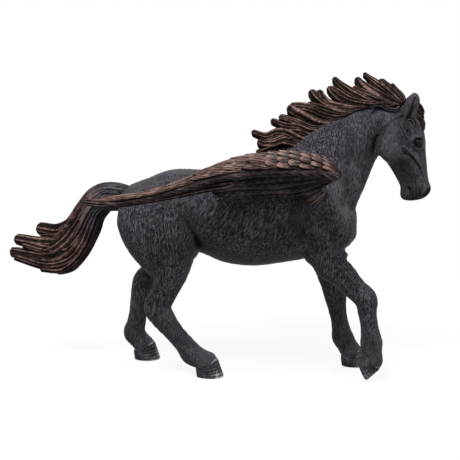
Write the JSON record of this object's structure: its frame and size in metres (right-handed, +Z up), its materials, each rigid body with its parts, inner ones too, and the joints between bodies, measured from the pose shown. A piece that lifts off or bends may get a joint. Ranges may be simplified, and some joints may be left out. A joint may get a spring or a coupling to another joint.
{
  "type": "winged horse figurine",
  "caption": "Standing toy figure of a trotting horse with arched swept-back wings, flame-like mane and flowing tail, made in one solid moulding.",
  "frame": {"origin": "below the middle of the figure, on the ground that the hooves stand on", "axes": "+X forward from tail to head, +Y to the horse's left, +Z up"},
  "size_m": [0.174, 0.0928, 0.1224],
  "materials": {
    "painted_moulding": "matt charcoal coat with dry-brushed brown hair and feathers and pale-edged hooves"
  },
  "bodies": {
    "root": {"winged_horse": "painted_moulding"}
  },
  "joints": []
}
